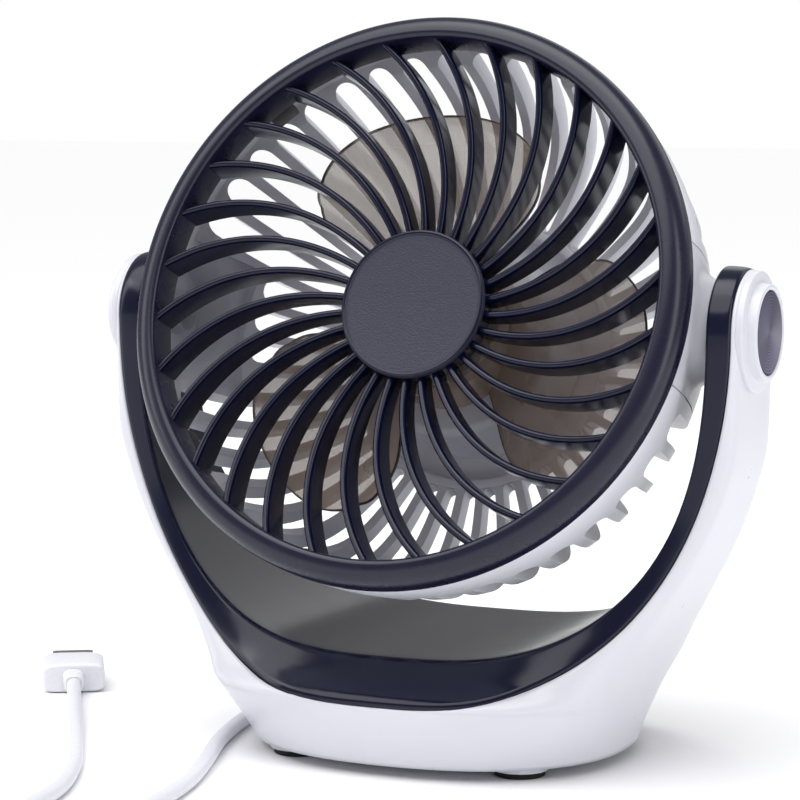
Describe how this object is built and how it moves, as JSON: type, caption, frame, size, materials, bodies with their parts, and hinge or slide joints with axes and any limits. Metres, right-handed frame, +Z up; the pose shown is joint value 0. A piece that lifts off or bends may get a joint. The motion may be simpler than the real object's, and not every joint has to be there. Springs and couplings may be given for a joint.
{
  "type": "desk fan",
  "caption": "Round desk fan head with a curved-rib grille and translucent blades, tilting between the arms of a U-shaped stand, on a USB lead.",
  "frame": {"origin": "floor level, at the middle of the fan's width and depth without its lead", "axes": "+Z up, -Y is the front the air leaves by, +X to the right seen from the front; the head's pivot axis is along X"},
  "size_m": [0.2326, 0.2643, 0.1904],
  "materials": {
    "white_abs": "glossy white ABS",
    "navy_abs": "glossy navy ABS",
    "navy_grain": "fine leather grain, satin",
    "dark_metal": "dark anodised, spun",
    "smoky_clear": "smoky translucent polystyrene",
    "black_plastic": "moulded",
    "rubber": "matt",
    "steel": "nickel plated",
    "brass": "gold plated or sintered",
    "copper": "copper segments",
    "ferrite": "ceramic magnet",
    "board_green": "solder resist",
    "white_cable": "soft white PVC"
  },
  "bodies": {
    "stand": {"stand_shell": "white_abs", "stand_liner": "navy_abs", "base_plate": "white_abs", "foot_front_left": "rubber", "foot_front_right": "rubber", "foot_rear_left": "rubber", "foot_rear_right": "rubber", "base_screw_1": "steel", "base_screw_2": "steel", "base_screw_3": "steel", "base_screw_4": "steel", "control_board": "board_green", "speed_switch": "black_plastic", "cord_gland": "white_abs", "pivot_boss_left": "white_abs", "pivot_boss_right": "white_abs", "pivot_cap_left": "dark_metal", "pivot_cap_right": "dark_metal", "pivot_washer_left": "black_plastic", "pivot_washer_right": "black_plastic", "cord_lead": "white_cable", "cord_coil": "white_cable", "cord_run": "white_cable", "plug_neck": "white_cable", "plug_grip": "white_cable", "plug_shell": "steel", "plug_tongue": "white_abs", "plug_contact_1": "brass", "plug_contact_2": "brass", "plug_contact_3": "brass", "plug_contact_4": "brass"},
    "head": {"front_grille": "navy_abs", "hub_cap": "navy_grain", "rear_shell": "white_abs", "trunnion_left": "white_abs", "trunnion_right": "white_abs", "motor_housing": "white_abs", "motor_can": "steel", "motor_end_cap": "black_plastic", "motor_magnet_left": "ferrite", "motor_magnet_right": "ferrite", "bush_front": "brass", "bush_rear": "brass", "motor_screw_left": "steel", "motor_screw_right": "steel", "housing_screw_1": "steel", "housing_screw_2": "steel", "housing_screw_3": "steel", "pivot_screw_left": "steel", "pivot_screw_right": "steel"},
    "rotor": {"impeller": "smoky_clear", "motor_shaft": "steel", "armature": "steel", "commutator": "copper"},
    "knob": {"speed_knob": "navy_abs", "knob_shaft": "steel"}
  },
  "joints": [
    {"name": "head_tilt", "type": "hinge", "parent": "stand", "child": "head", "pos_m": [0, -0.0083, 0.1127], "axis": [1, 0, 0], "range_deg": [-60, 110]},
    {"name": "impeller_spin", "type": "hinge", "parent": "head", "child": "rotor", "pos_m": [0, -0.0083, 0.1127], "axis": [0, -0.9367, 0.3502], "continuous": true},
    {"name": "knob_turn", "type": "hinge", "parent": "stand", "child": "knob", "pos_m": [0.018, 0.0455, 0.012], "axis": [0, 1, 0], "range_deg": [0, 270]}
  ]
}
